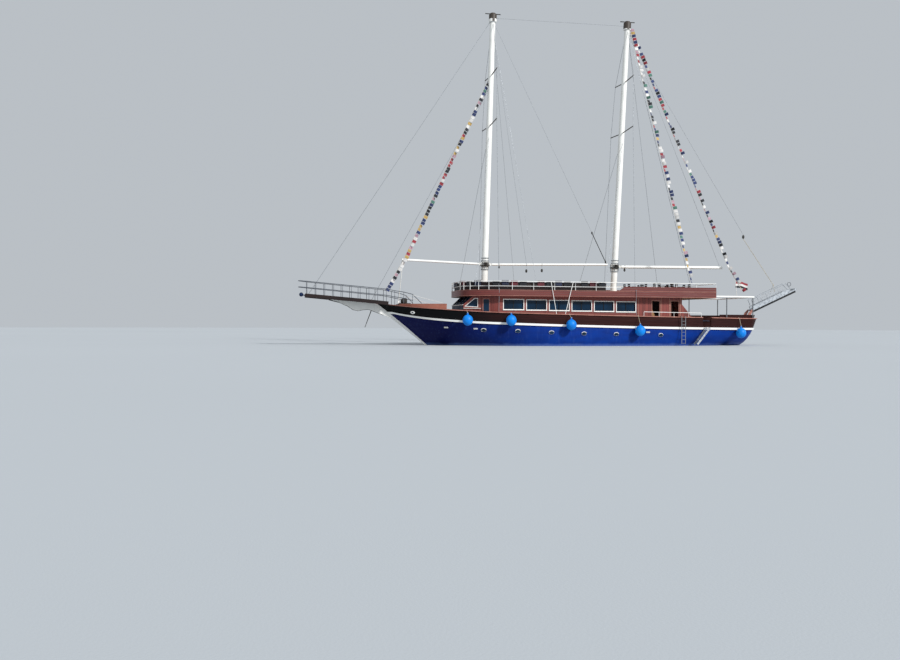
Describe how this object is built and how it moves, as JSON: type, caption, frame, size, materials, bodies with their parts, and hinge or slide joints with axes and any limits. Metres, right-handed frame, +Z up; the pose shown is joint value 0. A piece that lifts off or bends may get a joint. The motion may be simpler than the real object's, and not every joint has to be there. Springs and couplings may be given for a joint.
{
  "type": "tour boat",
  "caption": "Two-masted wooden tour boat in the style of a pirate ship, afloat, with a long bow platform, deckhouse, open upper deck, swinging booms, gangway and a full underwater hull.",
  "frame": {"origin": "on the waterline, amidships, in the middle of the boat", "axes": "+X forward to the bow, +Y to port, +Z up"},
  "size_m": [39.1947, 8.005, 26.7298],
  "materials": {
    "hull_paint": "gloss",
    "bottom_paint": "matt",
    "white_paint": "satin",
    "dark_wood": "varnished",
    "cap_wood": "varnished",
    "foredeck_paint": "painted",
    "deck_wood": "oiled",
    "house_wood": "varnished",
    "window": "dark tint",
    "steel": "satin",
    "bronze": "satin",
    "fender": "satin",
    "upholstery": "woven"
  },
  "bodies": {
    "boat": {"hull": "hull_paint", "keel": "bottom_paint", "rub_rail": "white_paint", "bulwark": "dark_wood", "cap_rail_fore": "cap_wood", "cap_rail_aft": "cap_wood", "main_deck": "deck_wood", "foredeck": "foredeck_paint", "bow_platform": "dark_wood", "stem_knee": "white_paint", "bow_rails": "steel", "windlass": "steel", "saloon_side_port": "house_wood", "saloon_side_starboard": "house_wood", "entry_side_port": "house_wood", "entry_side_starboard": "house_wood", "saloon_glass_port": "window", "saloon_glass_starboard": "window", "aft_bulkhead": "house_wood", "wheelhouse_side_port": "house_wood", "wheelhouse_side_starboard": "house_wood", "wheelhouse_front": "house_wood", "wheelhouse_glass": "window", "upper_deck": "deck_wood", "fascia": "house_wood", "upper_rails": "steel", "upper_benches": "house_wood", "saloon_seats": "upholstery", "helm_console": "house_wood", "stair": "deck_wood", "foremast": "white_paint", "mainmast": "white_paint", "fore_shroud_port": "steel", "fore_shroud_starboard": "steel", "main_shroud_port": "steel", "main_shroud_starboard": "steel", "inner_stay": "steel", "forestay": "steel", "triatic_stay": "steel", "backstay_port": "steel", "backstay_starboard": "steel", "awning_frame": "white_paint", "stern_bench": "house_wood", "swim_ladder": "steel", "fender_1": "fender", "fender_2": "fender", "fender_3": "fender", "fender_4": "fender", "fender_5": "fender"},
    "propeller": {"propeller": "bronze"},
    "rudder": {"rudder": "bottom_paint"},
    "helm": {"helm_wheel": "deck_wood"},
    "fore_boom": {"fore_boom": "white_paint"},
    "middle_boom": {"middle_boom": "white_paint"},
    "main_boom": {"main_boom": "white_paint"},
    "gangway": {"gangway": "white_paint"},
    "ladder": {"boarding_ladder": "white_paint"},
    "door_port": {"wheelhouse_door_port": "house_wood"},
    "door_starboard": {"wheelhouse_door_starboard": "house_wood"}
  },
  "joints": [
    {"name": "propeller_turn", "type": "hinge", "parent": "boat", "child": "propeller", "pos_m": [-10.76, 0, -1.15], "axis": [1, 0, 0], "continuous": true},
    {"name": "rudder_turn", "type": "hinge", "parent": "boat", "child": "rudder", "pos_m": [-11.45, 0, -1], "axis": [0, 0, 1], "range_deg": [-35, 35]},
    {"name": "helm_turn", "type": "hinge", "parent": "boat", "child": "helm", "pos_m": [8.62, 0, 2.56], "axis": [1, 0, 0], "range_deg": [-421, 421]},
    {"name": "fore_boom_swing", "type": "hinge", "parent": "boat", "child": "fore_boom", "pos_m": [8.12059, 0, 6.00941], "axis": [-0.029, 0, 0.9996], "range_deg": [-60, 60]},
    {"name": "middle_boom_swing", "type": "hinge", "parent": "boat", "child": "middle_boom", "pos_m": [7.34092, 0, 5.9868], "axis": [-0.029, 0, 0.9996], "range_deg": [-60, 60]},
    {"name": "main_boom_swing", "type": "hinge", "parent": "boat", "child": "main_boom", "pos_m": [-2.88495, 0, 5.97435], "axis": [-0.0504, 0, 0.9987], "range_deg": [-20, 20]},
    {"name": "gangway_lift", "type": "hinge", "parent": "boat", "child": "gangway", "pos_m": [-13.9, 0, 2.73], "axis": [0, 1, 0], "range_deg": [-42, 45]},
    {"name": "ladder_fold", "type": "hinge", "parent": "boat", "child": "ladder", "pos_m": [-8.3, 3.79, 1.3], "axis": [0, -1, 0], "range_deg": [0, 51]},
    {"name": "door_port_slide", "type": "slide", "parent": "boat", "child": "door_port", "axis": [-0.9673, 0.2535, 0], "range_m": [0, 0.58]},
    {"name": "door_starboard_slide", "type": "slide", "parent": "boat", "child": "door_starboard", "axis": [-0.9673, -0.2535, 0], "range_m": [0, 0.58]}
  ],
  "couplings": [
    {"joint": "helm_turn", "follows": "rudder_turn", "ratio": 12}
  ]
}
